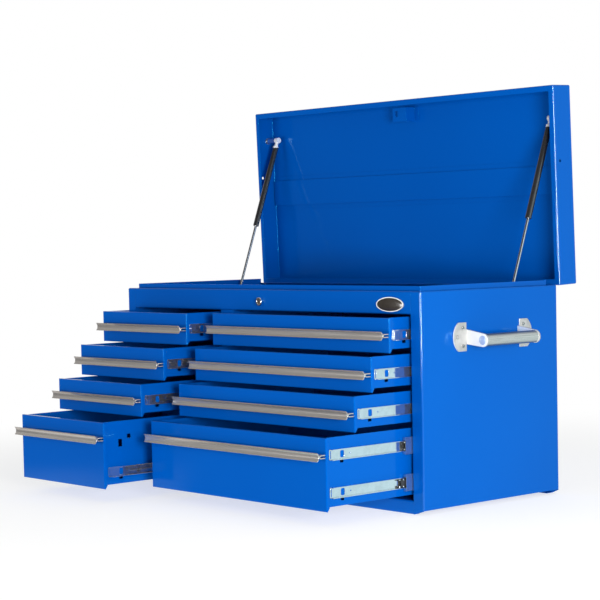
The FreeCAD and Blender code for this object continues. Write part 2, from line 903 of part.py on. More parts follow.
def hinge_case_leaves():
    """Leaves on the back panel, each with two knuckles."""
    leaves = []
    for middle in hinge_places():
        outer, inner = hinge_thirds(middle)
        start, end = outer[0][0], outer[1][1]
        leaf = plate((start, end), (back, back + S["hinge_leaf"]),
                     (hinge_z - S["hinge_leaf_height"], hinge_z))
        knuckles = [rod((low, hinge_y, hinge_z), "+X", knuckle_radius, high - low) for low, high in outer]
        notch = plate((inner[0] - S["knuckle_gap"], inner[1] + S["knuckle_gap"]),
                      (back - cut_margin, back + 2 * S["hinge_leaf"]),
                      (hinge_z - knuckle_radius - S["knuckle_gap"], hinge_z + knuckle_radius))
        bore = rod((start - cut_margin, hinge_y, hinge_z), "+X",
                   S["hinge_pin_radius"] + S["running_gap"], S["hinge_width"] + 2 * cut_margin)
        leaves.append(cut(fuse(leaf, *knuckles), notch, bore))
    return group(leaves)


def hinge_lid_leaves():
    """Leaves on the rear skirt of the lid, each with one knuckle."""
    leaves = []
    for middle in hinge_places():
        outer, inner = hinge_thirds(middle)
        start, end = outer[0][0], outer[1][1]
        leaf = plate((start, end), (lid_back, lid_back + S["hinge_leaf"]), (0, S["hinge_leaf_height"]))
        knuckle = rod((inner[0], 0, 0), "+X", knuckle_radius, inner[1] - inner[0])
        clear_y = (lid_back - cut_margin, lid_back + 2 * S["hinge_leaf"])
        clear_z = (-knuckle_radius, knuckle_radius + S["knuckle_gap"])
        clear_x = ((start - cut_margin, inner[0]), (inner[1], end + cut_margin))
        notches = [plate(wide, clear_y, clear_z) for wide in clear_x]
        bore = rod((start - cut_margin, 0, 0), "+X", S["hinge_pin_radius"] + S["running_gap"],
                   S["hinge_width"] + 2 * cut_margin)
        leaves.append(cut(fuse(leaf, knuckle), *notches, bore))
    return turn_lid(group(leaves))


def hinge_pins():
    """Pins that stand a little past the outer knuckles."""
    past = S["hinge_pin_past"]
    return group([rod((middle - S["hinge_width"] / 2 - past, hinge_y, hinge_z), "+X",
                      S["hinge_pin_radius"], S["hinge_width"] + 2 * past) for middle in hinge_places()])


# Gas struts. Each is modelled along -Z from its upper pivot and then turned to its lower one.

strut_x = rim_outside - sheet - S["strut_from_rim"]
strut_along = lid_front + S["strut_from_front"]
upper_y = hinge_y + strut_along * cosine(S["lid_open"]) + S["strut_lid_up"] * sine(S["lid_open"])
upper_z = hinge_z - strut_along * sine(S["lid_open"]) + S["strut_lid_up"] * cosine(S["lid_open"])
lower_y = hinge_y - S["strut_from_hinge"]
lower_z = top - S["strut_below"]
strut_rise = (upper_z - lower_z).value
strut_reach = (upper_y - lower_y).value
strut_span = math.hypot(strut_reach, strut_rise)
strut_tilt = math.degrees(math.atan2(strut_reach, strut_rise))


def aim_strut(side, thing):
    """Put a strut piece at its upper pivot and turn it towards the lower one."""
    aimed = group([thing])
    tilt = FreeCAD.Rotation(FreeCAD.Vector(1, 0, 0), -strut_tilt)
    aimed.Placement = FreeCAD.Placement(FreeCAD.Vector(), tilt)
    return place(aimed, side * strut_x, upper_y, upper_z)


def socket(height):
    """End socket of a strut, a round body across it."""
    return rod((-S["socket_width"] / 2, 0, height), "+X", S["socket_radius"], S["socket_width"])


def strut_tube(side):
    """Cylinder of the strut, with a gland at its open end and a socket on the lid's stud."""
    start = -S["socket_neck"]
    length = S["strut_tube_length"]
    wall = S["strut_tube_wall"]
    tube = rod((0, 0, start), "-Z", S["strut_tube_radius"], length)
    neck = rod((0, 0, 0), "-Z", S["socket_neck_radius"], S["socket_neck"] + wall)
    bore = rod((0, 0, start - 2 * wall), "-Z", S["strut_tube_radius"] - wall,
               length - 2 * wall - S["strut_gland"])
    gland = rod((0, 0, start - length / 2), "-Z", S["strut_rod_radius"] + S["running_gap"], length)
    seat = S["socket_width"] / 2 - S["socket_floor"]
    way = "+X" if side > 0 else "-X"
    pocket = rod((-side * seat, 0, 0), way, S["stud_radius"] + S["running_gap"], S["socket_width"])
    return aim_strut(side, cut(fuse(tube, neck, socket(0)), bore, gland, pocket))


def strut_rod(side):
    """Rod and piston of the strut, with the lower socket. The rod reaches into the tube."""
    low = as_size(-strut_span)
    length = strut_span - 2 * S["socket_neck"] - S["strut_tube_length"] + S["strut_engaged"]
    neck = rod((0, 0, low), "+Z", S["socket_neck_radius"], S["socket_neck"])
    bar = rod((0, 0, low + S["socket_neck"] / 2), "+Z", S["strut_rod_radius"],
              length + S["socket_neck"] / 2)
    piston = rod((0, 0, low + S["socket_neck"] + length - S["strut_piston"]), "+Z",
                 S["strut_tube_radius"] - S["strut_tube_wall"] - S["running_gap"], S["strut_piston"])
    return aim_strut(side, fuse(socket(low), neck, bar, piston))


def stud(side, start, y, z, end, shoulder):
    """A shouldered stud pointing at the strut, from a wall."""
    way = "-X" if side > 0 else "+X"
    length = start - end
    pieces = [
        rod((side * start, y, z), way, S["stud_flange_radius"], S["stud_flange"]),
        rod((side * start, y, z), way, S["stud_shoulder_radius"], start - shoulder),
        rod((side * start, y, z), way, S["stud_radius"], length),
    ]
    return fuse(*pieces)


def strut_upper_studs():
    """Studs on the lid's side skirts."""
    shoulder = strut_x + S["socket_width"] / 2 + S["stud_gap"]
    end = strut_x - S["socket_width"] / 2 + S["socket_floor"] + S["stud_gap"]
    return turn_lid(group([stud(side, inner_wall, strut_along, S["strut_lid_up"], end, shoulder)
                           for side in (-1, 1)]))


def strut_lower_studs():
    """Studs on the till's side walls. They end beside the rods' sockets."""
    wall = rim_outside - sheet
    end = strut_x + S["socket_width"] / 2 + S["stud_gap"]
    return group([stud(side, wall, lower_y, lower_z, end, end + S["stud_gap"])
                  for side in (-1, 1)])


# Lock

def lock_barrel():
    ring = rod((0, front - S["lock_proud"], lock_z), "+Y", S["lock_ring_radius"], S["lock_proud"])
    body = rod((0, front - S["lock_proud"], lock_z), "+Y", S["lock_body_radius"],
               S["lock_proud"] + S["lock_body_length"])
    bore = rod((0, front - S["lock_proud"] - cut_margin, lock_z), "+Y",
               S["lock_core_radius"] + S["running_gap"],
               S["lock_proud"] + S["lock_body_length"] + 2 * cut_margin)
    return cut(fuse(ring, body), bore)


def lock_cylinder():
    start = front - S["lock_proud"] + S["lock_core_recess"]
    core = rod((0, start, lock_z), "+Y", S["lock_core_radius"],
               S["lock_proud"] - S["lock_core_recess"] + S["lock_body_length"] + S["stud_gap"])
    half = S["keyway_width"] / 2
    keyway = plate((-half, half), (start - cut_margin, start + S["keyway_depth"]),
                   (lock_z - S["keyway_height"] / 2, lock_z + S["keyway_height"] / 2))
    return cut(core, keyway)


def lock_cam():
    """Cam on the inner end of the lock cylinder."""
    y = (front + S["lock_body_length"] + S["stud_gap"],
         front + S["lock_body_length"] + S["stud_gap"] + S["cam_sheet"])
    half = S["cam_width"] / 2
    arm = plate((-half, half), y, (lock_z, lock_z + S["cam_length"]))
    end = rod((0, y[0], lock_z), "+Y", half, S["cam_sheet"])
    return fuse(arm, end)


# Badge

def oval_badge():
    """Bare oval plate on the top rail."""
    outline = document.addObject("Part::Ellipse", "Oval")
    bind(outline, MajorRadius=S["badge_width"] / 2, MinorRadius=S["badge_height"] / 2)
    outline.Placement = FreeCAD.Placement(FreeCAD.Vector(), TURN["-Y"])
    place(outline, half_width - S["badge_from_side"], front, top - S["badge_below"])
    solid = document.addObject("Part::Extrusion", "Plate")
    solid.Base = outline
    solid.DirMode = "Custom"
    solid.Dir = FreeCAD.Vector(0, -1, 0)
    solid.Solid = True
    bind(solid, LengthFwd=S["badge_thickness"])
    return solid


# Side handles

arm_radius = S["grip_radius"] + S["arm_rim"]


def screw_spots(end):
    """Places of the three screws of a flange, along Y and Z."""
    inner = S["handle_back"] + end * S["handle_span"] / 2
    near = inner + end * S["screw_near"]
    return [(near, flange_z + S["screw_spread"]), (near, flange_z - S["screw_spread"]),
            (inner + end * S["screw_far"], flange_z)]


def screw_holes(side, end):
    """Holes for those screws, through the flange and the wall."""
    way = "+X" if side > 0 else "-X"
    start = side * (inner_wall - sheet)
    radius = S["screw_shank_radius"] + S["running_gap"]
    return [rod((start, y, z), way, radius, S["flange_sheet"] + 4 * sheet) for y, z in screw_spots(end)]


def tangent_point(side, from_up):
    """Point of the arm's round end where a straight edge from the wall meets it. The edge starts
    at a height measured from the grip's middle."""
    out = S["handle_out"].value
    radius = arm_radius.value
    turn = math.acos(radius / math.hypot(out, from_up))
    angle = math.pi - math.atan2(abs(from_up), out) - turn
    grip = half_width.value + out
    rise = math.copysign(radius * math.sin(angle), from_up)
    return side * (grip + radius * math.cos(angle)), handle_z.value + rise


def handle_bracket(side, end):
    """Bracket at the front (-1) or the rear (1) end of a handle: a D-shaped flange and an arm that
    narrows from the flange to a round end about the grip."""
    inner = S["handle_back"] + end * S["handle_span"] / 2
    half = S["flange_height"].value / 2
    flat = end * S["flange_flat"].value
    wide = end * S["flange_width"].value
    up = flange_z.value
    d_shape = [(0, up - half), (0, up + half), (flat, up + half), ((flat, up - half), (wide, up))]
    flange = profile("x", d_shape, S["flange_sheet"], y=inner,
                     x=half_width if side > 0 else -half_width - S["flange_sheet"])
    wall = side * half_width.value
    low = up - S["arm_base_height"].value / 2
    high = up + S["arm_base_height"].value / 2
    level = handle_z.value
    end_of_arm = side * (half_width + S["handle_out"] + arm_radius).value
    outline = [(wall, low), (wall, high), tangent_point(side, high - level),
               (tangent_point(side, low - level), (end_of_arm, level))]
    thick = S["arm_sheet"]
    arm = profile("y", outline, thick, y=inner + thick if end < 0 else inner)
    return cut(fuse(flange, arm), *screw_holes(side, end))


def handle_brackets():
    return group([handle_bracket(side, end) for side in (-1, 1) for end in (-1, 1)])


def handle_grips():
    """Round grips between the arms."""
    start = S["handle_back"] - S["handle_span"] / 2 + S["arm_sheet"]
    length = S["handle_span"] - 2 * S["arm_sheet"]
    grips = []
    for side in (-1, 1):
        x = side * (half_width + S["handle_out"])
        outer = rod((x, start, handle_z), "+Y", S["grip_radius"], length)
        bore = rod((x, start - cut_margin, handle_z), "+Y", S["grip_radius"] - S["grip_wall"],
                   length + 2 * cut_margin)
        grips.append(cut(outer, bore))
    return group(grips)


def handle_screws():
    """Three screws in each flange."""
    screws = []
    for side in (-1, 1):
        way = "+X" if side > 0 else "-X"
        back_way = "-X" if side > 0 else "+X"
        face = side * (half_width + S["flange_sheet"])
        for end in (-1, 1):
            for y, z in screw_spots(end):
                screws.append(fuse(rod((face, y, z), way, S["screw_radius"], S["screw_head"]),
                                   rod((face, y, z), back_way, S["screw_shank_radius"], S["screw_shank"])))
    return group(screws)


def build():
    """Make every sub-part under its own name."""
    name_part(side_panel(-1), "left_side_panel")
    name_part(side_panel(1), "right_side_panel")
    name_part(back_panel(), "back_panel")
    name_part(base_pan(), "base_pan")
    name_part(top_rail(), "top_rail")
    name_part(centre_divider(), "centre_divider")
    name_part(till_tray(), "till_tray")
    name_part(rear_slide_posts(), "rear_slide_posts")
    name_part(case_members(), "slide_case_members")
    for column in ("left", "right"):
        for row, word in enumerate(ROW_WORDS):
            drawer = f"{column}_drawer_{word}"
            name_part(drawer_box(column, row), f"{drawer}_box")
            name_part(pull(column, row), f"{drawer}_pull")
            name_part(drawer_members(column, row), f"{drawer}_slides")
            name_part(middle_members(column, row), f"{drawer}_middle_slides")
    name_part(lid_shell(), "lid_shell")
    name_part(lid_stiffener(), "lid_stiffener")
    name_part(lid_catch(), "lid_catch")
    name_part(hinge_case_leaves(), "hinge_case_leaves")
    name_part(hinge_lid_leaves(), "hinge_lid_leaves")
    name_part(hinge_pins(), "hinge_pins")
    for side, word in ((-1, "left"), (1, "right")):
        name_part(strut_tube(side), f"{word}_strut_tube")
        name_part(strut_rod(side), f"{word}_strut_rod")
    name_part(strut_upper_studs(), "strut_upper_studs")
    name_part(strut_lower_studs(), "strut_lower_studs")
    name_part(lock_barrel(), "lock_barrel")
    name_part(lock_cylinder(), "lock_cylinder")
    name_part(lock_cam(), "lock_cam")
    name_part(oval_badge(), "oval_badge")
    name_part(handle_brackets(), "handle_brackets")
    name_part(handle_grips(), "handle_grips")
    name_part(handle_screws(), "handle_screws")


def check():
    """Stop if a feature failed or a sub-part has no sound shape."""
    document.recompute()
    for thing in document.Objects:
        if "Invalid" in thing.State or "Error" in thing.State:
            raise RuntimeError(f"{thing.Name} ({thing.Label}) failed: {thing.State}")
    unsound = [thing.Label for thing in finished
               if thing.Shape.isNull() or not thing.Shape.isValid() or not thing.Shape.Solids]
    if unsound:
        raise RuntimeError(f"no valid solid: {', '.join(unsound)}")


def write():
    os.makedirs("parts", exist_ok=True)
    for thing in finished:
        thing.Shape.exportStep(f"parts/{thing.Label}.step")
        print(thing.Label, len(thing.Shape.Solids), round(thing.Shape.Volume))
    print("sub-parts", len(finished), "strut length", round(strut_span, 2), "tilt", round(strut_tilt, 3))


build()
check()
write()
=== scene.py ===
import json
import math
import random

import bmesh
import bpy
from mathutils import Matrix, Vector


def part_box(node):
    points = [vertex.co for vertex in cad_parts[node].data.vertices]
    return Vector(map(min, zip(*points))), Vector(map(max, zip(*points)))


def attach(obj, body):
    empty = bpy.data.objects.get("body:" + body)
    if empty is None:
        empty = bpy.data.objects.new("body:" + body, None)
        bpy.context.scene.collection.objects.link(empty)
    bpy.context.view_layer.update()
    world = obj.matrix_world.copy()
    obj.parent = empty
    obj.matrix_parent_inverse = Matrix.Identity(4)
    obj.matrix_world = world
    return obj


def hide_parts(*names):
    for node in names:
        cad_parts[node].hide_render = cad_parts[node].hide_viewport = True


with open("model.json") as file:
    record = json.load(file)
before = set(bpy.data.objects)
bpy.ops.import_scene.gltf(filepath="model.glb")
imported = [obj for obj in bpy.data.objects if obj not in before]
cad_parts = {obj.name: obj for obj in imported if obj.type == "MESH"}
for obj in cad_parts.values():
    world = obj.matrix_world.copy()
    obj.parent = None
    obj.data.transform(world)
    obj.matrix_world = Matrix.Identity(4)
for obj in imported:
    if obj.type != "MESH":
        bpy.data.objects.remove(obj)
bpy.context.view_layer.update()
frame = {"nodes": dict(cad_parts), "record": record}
nodes = frame["nodes"]
bodies = frame["record"]["behaviour"]["bodies"]
body_of = {node: body for body, members in bodies.items() for node in members}

# Sizes and places in metres, angles in degrees
MM = 0.001

# Camera
CAMERA_PLACE = (3.2569, -2.9993, 0.6088)
CAMERA_YAW = 48.364
CAMERA_PITCH = -3.415
CAMERA_ROLL = -1.181
CAMERA_LENS = 108.16
CAMERA_SENSOR = 36
CAMERA_SHIFT = 0.075
CAMERA_REACH = 200

# Lamps: place, aim, width, height and power in watts
SIDE_LIGHT = ((4.4, 0.8, 1.2), (0.4, 0, 0.4), 3.2, 3.2, 32)
FRONT_LIGHT = ((-0.8, -3.1, 0.2), (-0.1, -0.3, 0.15), 1.6, 0.6, 38)
CORNER_LIGHT = ((3.46, -1.91, 0.6), (0.53, -0.22, 0.4), 1.05, 1.0, 150)

# Room that metal and paint mirror: colours, the ways its walls lie, and the cosines where each wall begins
DIM_ROOM = (0.11, 0.11, 0.11)
LEFT_WALL = (0.80, 0.78, 0.76)
LEFT_WAY = (-1, 0, 0)
LEFT_BAND = (0.74, 0.90)
LEFT_SHARE = 0.75
LEFT_RISE = (0.08, 0.25)
RIGHT_WALL = (0.68, 0.93, 1)
RIGHT_WAY = (0.75, 0.66, 0)
RIGHT_BAND = (0.3, 0.8)
BACK_WALL = (0.95, 0.97, 1)
BACK_WAY = (-0.35, 0.94, 0)
BACK_BAND = (0.5, 0.8)
CEILING = (1, 1, 1)
UP = (0, 0, 1)
UP_BAND = (0.62, 0.80)
WHITE = (1, 1, 1)
ROOM_LIGHT = (0.33, 0.34, 0.35)

# Floor: it glows, turns white at a distance, and mirrors the room as seen from a spot before the chest
FLOOR_SIZE = 80
FLOOR_GLOW = 0.63
FLOOR_WHITE_FROM = (0.8, 2.0)
FLOOR_LEFT_WALL_TO = (0.9, 1.35)
FLOOR_SHIFT = (0, 0.5, 0)

# Corners that catch the light: of the case, in x and y, and of the lid, inward from its leaning edges
CASE_CORNER_X = (0.5258, 0.5270)
CASE_CORNER_Y = (-0.2230, -0.2215)
LID_CORNER_X = (4 * MM, 3.4 * MM)
LID_CORNER_Y = (4 * MM, 4.5 * MM)
LID_LEAN = math.tan(math.radians(2))
LID_FOOT = (0.489, 0.490)

# Paint
EDGE_TURN = (0.80, 0.97)
EDGE_SAMPLES = 4
PAINT_EDGE = 0.7 * MM
PEEL_DEPTH = 0.02 * MM
PAINT_LOW = (0, 0.073, 0.365)
PAINT_HIGH = (0, 0.080, 0.39)
STUD_PAINT = (0, 0.076, 0.38)
STUD_FADE = 0.2 * MM
SHEET = 1.2 * MM

# Metal
ZINC_EDGE = 0.5 * MM
ROLLING_DEPTH = 0.004 * MM
PULL_EDGE = 1.2 * MM
SOCKET_LENGTH = 28 * MM
SOCKET_FADE = 1 * MM

# Mesh work
MERGE = 0.001 * MM
FLAT_ANGLE = 0.5
SMOOTH_ANGLE = 40
FACES_THAT_WAY = 0.9

# Handles
CAST_EDGE = 0.8 * MM
GRIP_RADIUS = 14 * MM
ARM_SHEET = 5 * MM
BOLT_END = 10.2 * MM
BOLT_PROUD = 0.4 * MM
BOLT_EDGE = 0.6 * BOLT_PROUD
BOLT_SIDES = 48
SCREW_RADIUS = 4.2 * MM
SCREW_HEAD = 2 * MM
SCREW_DOME = 1.1 * MM
SCREW_SIDES = 32
SCREW_SMOOTH_ANGLE = 35
SCREW_SEED = 4
CROSS_LENGTH = 5 * MM
CROSS_WIDTH = 1.1 * MM
CROSS_DEPTH = 1.3 * MM
SCREW_NEAR = 12 * MM
SCREW_FAR = 30 * MM
SCREW_SPREAD = 20 * MM

# Lock and badge
LOCK_EDGE = 0.8 * MM
BADGE_RIM = 2.2 * MM
BADGE_EDGE = 0.5 * MM
BADGE_FIELD_DEPTH = 1 * MM
BADGE_FIELD_DOME = 0.8 * MM
BADGE_FIELD_EDGE = 0.4 * BADGE_FIELD_DOME
BADGE_SIDES = 96

# Ball cages
CAGE_AHEAD = 4 * MM
CAGE_AHEAD_LOW = 21 * MM
DEEP_MIDDLE = 0.112
CAGE_LENGTH = 60 * MM
CAGE_DEPTH = 4 * MM
CAGE_SHEET = 0.8 * MM
CAGE_HALF = 9.8 * MM
CAGE_RAIL = 6 * MM
CAGE_NOTCH = 9 * MM
CAGE_EDGE = 0.3 * MM
CAGE_BALLS = 5
CAGE_FIRST_BALL = 5 * MM
CAGE_STEP = 11 * MM
CAGE_BALL_UP = 7.6 * MM
BALL_RADIUS = 2 * MM


# Camera and lamps

def make_camera():
    """The camera at the photograph's angle, a little above the chest's middle and to its right."""
    yaw, pitch, roll = (math.radians(angle) for angle in (CAMERA_YAW, CAMERA_PITCH, CAMERA_ROLL))
    ahead = Vector((-math.sin(yaw) * math.cos(pitch), math.cos(yaw) * math.cos(pitch), math.sin(pitch)))
    level = Vector((math.cos(yaw), math.sin(yaw), 0))
    rise = level.cross(ahead)
    right = level * math.cos(roll) + rise * math.sin(roll)
    up = rise * math.cos(roll) - level * math.sin(roll)
    camera = bpy.data.objects.new("camera", bpy.data.cameras.new("camera"))
    bpy.context.scene.collection.objects.link(camera)
    camera.data.sensor_width = CAMERA_SENSOR
    camera.data.lens = CAMERA_LENS
    camera.data.shift_y = CAMERA_SHIFT
    camera.data.clip_end = CAMERA_REACH
    turn = Matrix((right, up, -ahead)).transposed().to_4x4()
    camera.matrix_world = Matrix.Translation(CAMERA_PLACE) @ turn
    bpy.context.scene.camera = camera


def make_lamp(name, place, aim, width, height, power):
    """A soft lamp that points at a place."""
    lamp = bpy.data.objects.new(name, bpy.data.lights.new(name, "AREA"))
    bpy.context.scene.collection.objects.link(lamp)
    lamp.data.shape = "RECTANGLE"
    lamp.data.size = width
    lamp.data.size_y = height
    lamp.data.energy = power
    lamp.visible_camera = False
    lamp.location = place
    lamp.rotation_euler = (Vector(aim) - Vector(place)).to_track_quat("-Z", "Y").to_euler()


# Materials

class Signal:
    """A value that runs through a material's nodes. Sums and products add their Math nodes."""

    def __init__(self, finish, socket):
        self.finish = finish
        self.socket = socket

    def maths(self, operation, *values):
        """A Math node on these values, in their order."""
        return self.finish.node("ShaderNodeMath", {"operation": operation}, dict(enumerate(values)))

    def __add__(self, other):
        return self.maths("ADD", self, other)

    __radd__ = __add__

    def __sub__(self, other):
        return self.maths("SUBTRACT", self, other)

    def __rsub__(self, other):
        return self.maths("SUBTRACT", other, self)

    def __mul__(self, other):
        return self.maths("MULTIPLY", self, other)

    __rmul__ = __mul__

    def unsigned(self):
        """The value without its sign."""
        return self.maths("ABSOLUTE", self)

    def or_more(self, other):
        """The larger of two values."""
        return self.maths("MAXIMUM", self, other)

    def between(self, low, high):
        """0 below low, 1 above high, smooth between."""
        settings = {"interpolation_type": "SMOOTHSTEP"}
        inputs = {"Value": self, "From Min": low, "From Max": high}
        return self.finish.node("ShaderNodeMapRange", settings, inputs)


class Finish:
    """A material in the making: a node tree with its shader."""

    def __init__(self, tree):
        self.tree = tree

    def node(self, kind, settings=None, inputs=None, output=0):
        """Add a node: first its settings, then the values or links of its sockets."""
        node = self.tree.nodes.new(kind)
        for name, value in (settings or {}).items():
            setattr(node, name, value)
        for name, value in (inputs or {}).items():
            self.feed(node.inputs[name], value)
        return Signal(self, node.outputs[output])

    def feed(self, socket, value):
        """Link a signal to a socket, or write a plain value into it."""
        if isinstance(value, Signal):
            self.tree.links.new(value.socket, socket)
        else:
            socket.default_value = value

    def here(self):
        """Object coordinates in metres."""
        return self.node("ShaderNodeTexCoord", output="Object")

    def part(self, vector, axis):
        """A vector's part along one axis."""
        return self.node("ShaderNodeSeparateXYZ", None, {0: vector}, output=axis)

    def vector(self, operation, *vectors, output=0):
        """A Vector Math node on these vectors."""
        settings = {"operation": operation}
        return self.node("ShaderNodeVectorMath", settings, dict(enumerate(vectors)), output)

    def ray(self, kind):
        """1 for rays of that kind."""
        return self.node("ShaderNodeLightPath", output=kind)

    def noise(self, size, stretch=(1, 1, 1), detail=2):
        """Cloudy noise with lumps of about that size in metres, on stretched axes."""
        place = self.node("ShaderNodeMapping", None, {"Vector": self.here(), "Scale": stretch})
        inputs = {"Vector": place, "Scale": 1 / size, "Detail": detail}
        return self.node("ShaderNodeTexNoise", None, inputs)

    def blend(self, factor, low, high):
        """Colour low where the factor is 0 and high where it is 1."""
        low, high = (colour if isinstance(colour, Signal) else (*colour, 1) for colour in (low, high))
        return self.node("ShaderNodeMix", {"data_type": "RGBA"}, {0: factor, 6: low, 7: high}, output=2)

    def facing(self, axis):
        """How squarely the surface faces along an axis, one way or the other."""
        return self.part(self.node("ShaderNodeNewGeometry", output="Normal"), axis).unsigned()

    def rounded(self, radius):
        """The surface's normal, turned as if its edges were round."""
        return self.node("ShaderNodeBevel", {"samples": EDGE_SAMPLES}, {"Radius": radius})

    def bumps(self, height, depth, over=None):
        """Surface bumps of that depth in metres, over another normal where one is given."""
        inputs = {"Height": height, "Distance": depth, "Strength": 1}
        if over:
            inputs["Normal"] = over
        return self.node("ShaderNodeBump", None, inputs)


def new_material(name, inputs):
    """A material with fixed values on its shader's own sockets. Returns it with its Finish."""
    material = bpy.data.materials.new(name)
    material.use_nodes = True
    finish = Finish(material.node_tree)
    finish.shader = material.node_tree.nodes["Principled BSDF"]
    for socket, value in inputs.items():
        finish.shader.inputs[socket].default_value = value
    return material, finish


def set_varying(finish, inputs):
    """Link what varies over the surface to the shader's sockets."""
    for socket, signal in inputs.items():
        finish.feed(finish.shader.inputs[socket], signal)


def edge_line(finish, round_edge):
    """1 where a rounded edge turns away from its face, and on the front corners of the case and the lid."""
    face = finish.node("ShaderNodeNewGeometry", output="Normal")
    turned = finish.vector("DOT_PRODUCT", round_edge, face, output="Value")
    here = finish.here()
    aside = finish.part(here, "X").unsigned()
    y = finish.part(here, "Y")
    z = finish.part(here, "Z")
    case_corner = aside.between(*CASE_CORNER_X) * (1 - y.between(*CASE_CORNER_Y))
    low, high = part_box("lid_shell")
    behind_lip = y - low.y - (high.z - z) * LID_LEAN
    lid_side = aside.between(high.x - LID_CORNER_X[0], high.x - LID_CORNER_X[1])
    lid_corner = lid_side * (1 - behind_lip.between(*LID_CORNER_Y)) * z.between(*LID_FOOT)
    return case_corner.or_more(lid_corner).or_more(1 - turned.between(*EDGE_TURN))


def blue_paint():
    """Glossy blue powder coat with faint orange peel, round over the edges of the sheet."""
    fixed = {"IOR": 1.34, "Specular Tint": (0.05, 0.7, 1, 1), "Coat Roughness": 0.08}
    material, finish = new_material("blue_powder_coat", fixed)
    tone = finish.noise(0.6)
    peel = finish.noise(2.5 * MM, detail=1)
    round_edge = finish.rounded(PAINT_EDGE)
    set_varying(finish, {
        "Base Color": finish.blend(tone.between(0.3, 0.7), PAINT_LOW, PAINT_HIGH),
        "Roughness": 0.08 + finish.noise(30 * MM) * 0.05,
        "Coat Weight": edge_line(finish, round_edge),
        "Normal": finish.bumps(peel, PEEL_DEPTH, round_edge),
    })
    return material


def bright_zinc():
    """Zinc-plated steel of slides, hinges and lower studs: bluish and nearly a mirror."""
    material, finish = new_material("bright_zinc", {"Metallic": 0.95})
    rolling = finish.noise(1.2 * MM, stretch=(1, 0.02, 1))
    clouds = finish.noise(25 * MM).between(0.35, 0.65)
    set_varying(finish, {
        "Base Color": finish.blend(clouds, (0.64, 0.67, 0.69), (0.70, 0.73, 0.75)),
        "Roughness": 0.05 + rolling * 0.06,
        "Normal": finish.bumps(rolling, ROLLING_DEPTH, finish.rounded(ZINC_EDGE)),
    })
    return material


def painted_stud():
    """Zinc of the upper studs. Their riveted ends are painted over with the lid."""
    material, finish = new_material("painted_stud", {})
    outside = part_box("lid_shell")[1].x - SHEET
    painted = finish.part(finish.here(), "X").unsigned().between(outside - STUD_FADE, outside)
    zinc = finish.blend(finish.noise(5 * MM), (0.62, 0.68, 0.72), (0.70, 0.76, 0.80))
    set_varying(finish, {
        "Metallic": 0.95 - painted * 0.95,
        "Base Color": finish.blend(painted, zinc, STUD_PAINT),
        "Roughness": 0.08 + finish.noise(2 * MM) * 0.06,
    })
    return material


def brushed_aluminium():
    """Extruded aluminium of the pulls, with fine lines along them."""
    material, finish = new_material("satin_aluminium", {"Metallic": 0.72})
    lines = finish.noise(0.5 * MM, stretch=(0.004, 1, 1))
    set_varying(finish, {
        "Base Color": finish.blend(lines.between(0.3, 0.7), (0.48, 0.45, 0.42), (0.57, 0.54, 0.51)),
        "Roughness": 0.18 + lines * 0.08,
        "Normal": finish.rounded(PULL_EDGE),
    })
    return material


def polished_chrome():
    """Bright chrome of the lock's ring and cam."""
    material, finish = new_material("polished_chrome", {"Metallic": 1})
    clouds = finish.noise(12 * MM).between(0.4, 0.6)
    set_varying(finish, {
        "Base Color": finish.blend(clouds, (0.80, 0.82, 0.84), (0.88, 0.89, 0.90)),
        "Roughness": 0.06 + finish.noise(4 * MM) * 0.08,
    })
    return material


def satin_chrome():
    """Soft chrome of the cast brackets and the badge's rim, with a painted highlight: faces to the front
    and the back are painted paler, as if lit.
    """
    material, finish = new_material("satin_chrome", {"Metallic": 0.3})
    clouds = finish.noise(20 * MM)
    flange = finish.blend(clouds.between(0.35, 0.65), (0.32, 0.32, 0.31), (0.40, 0.40, 0.39))
    # painted highlight: the paler colour of faces to the front and the back
    painted_highlight_faces = finish.blend(clouds, (0.80, 0.80, 0.79), (0.88, 0.88, 0.87))
    set_varying(finish, {
        "Base Color": finish.blend(finish.facing("Y").between(0.5, 0.8), flange, painted_highlight_faces),
        "Roughness": 0.36 + finish.noise(6 * MM) * 0.06,
    })
    return material


def brushed_tube():
    """Grip tubes, ground along their length, with a painted reflection: faces above and below are painted
    darker and bluish.
    """
    material, finish = new_material("brushed_tube", {"Metallic": 0.8})
    lines = finish.noise(0.8 * MM, stretch=(1, 0.01, 1))
    bright = finish.blend(lines.between(0.3, 0.7), (0.42, 0.40, 0.38), (0.56, 0.54, 0.51))
    # painted reflection: the darker, bluish colour of faces above and below
    painted_dark_reflection = finish.blend(lines.between(0.3, 0.7), (0.10, 0.13, 0.17), (0.16, 0.19, 0.24))
    set_varying(finish, {
        "Base Color": finish.blend(finish.facing("Z").between(0.45, 0.85), bright, painted_dark_reflection),
        "Roughness": 0.24 + lines * 0.08,
    })
    return material


def plain_finish(name, fixed, colours, lump, roughness, spread, grain):
    """Two near colours in lumps of one size, and a roughness that spreads a little in finer grains."""
    material, finish = new_material(name, fixed)
    set_varying(finish, {
        "Base Color": finish.blend(finish.noise(lump), *colours),
        "Roughness": roughness + finish.noise(grain) * spread,
    })
    return material


def bolt_steel():
    """Bluish flat ends of the grips' bolts."""
    colours = (0.40, 0.50, 0.68), (0.46, 0.56, 0.74)
    return plain_finish("bolt_steel", {"Metallic": 0.4}, colours,
                        lump=3 * MM, roughness=0.3, spread=0.08, grain=1 * MM)


def screw_steel():
    """Dull steel of the handles' screws."""
    colours = (0.34, 0.33, 0.32), (0.46, 0.45, 0.44)
    return plain_finish("screw_steel", {"Metallic": 1}, colours,
                        lump=2 * MM, roughness=0.20, spread=0.1, grain=1 * MM)


def lock_face():
    """Darker, brownish metal of the key plug."""
    colours = (0.20, 0.15, 0.12), (0.34, 0.28, 0.24)
    return plain_finish("lock_face", {"Metallic": 1}, colours,
                        lump=1.5 * MM, roughness=0.28, spread=0.1, grain=1 * MM)


